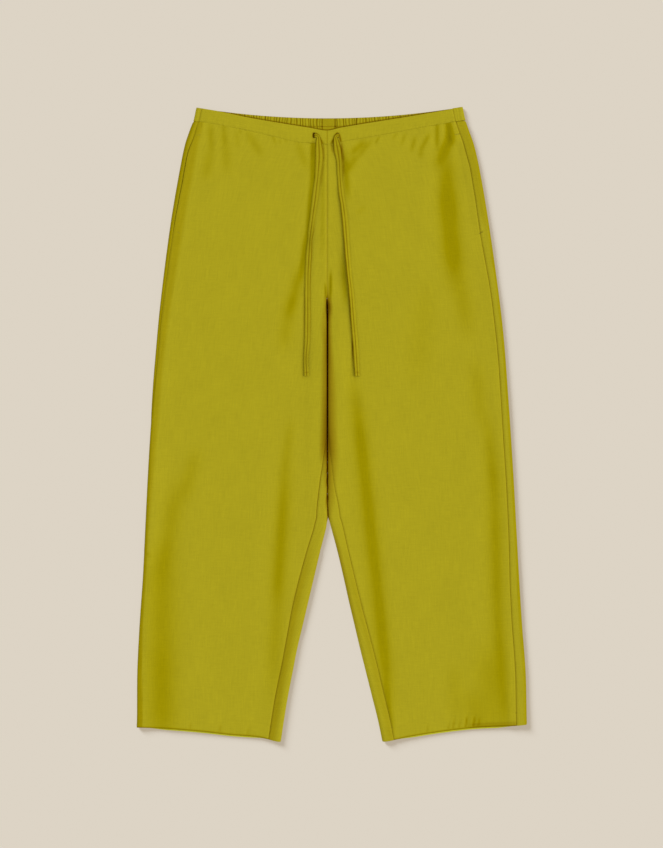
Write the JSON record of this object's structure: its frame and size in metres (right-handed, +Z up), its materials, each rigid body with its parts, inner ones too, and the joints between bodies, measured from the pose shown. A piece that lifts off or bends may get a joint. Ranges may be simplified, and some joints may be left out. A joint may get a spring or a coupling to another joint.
{
  "type": "straight trousers",
  "caption": "Straight wide-leg trousers laid flat, with a plain front waistband, a gathered elastic back waistband and a drawstring whose ends hang free",
  "frame": {"origin": "centre of the laid garment's footprint without the ties, on the surface it lies on", "axes": "+Y from hem to waist, +X to the right as seen from above with the front up, +Z up out of the front"},
  "size_m": [0.5852, 0.9528, 0.0119],
  "materials": {
    "linen": "plain woven olive-yellow linen blend, slubbed, soft low sheen",
    "tie": "the same cloth, folded lengthwise and stitched to a narrow flat cord"
  },
  "bodies": {
    "root": {"front_left": "linen", "front_right": "linen", "back_left": "linen", "back_right": "linen", "front_waistband_left": "linen", "front_waistband_right": "linen", "back_waistband": "linen", "tie_left": "tie", "tie_right": "tie"}
  },
  "joints": []
}
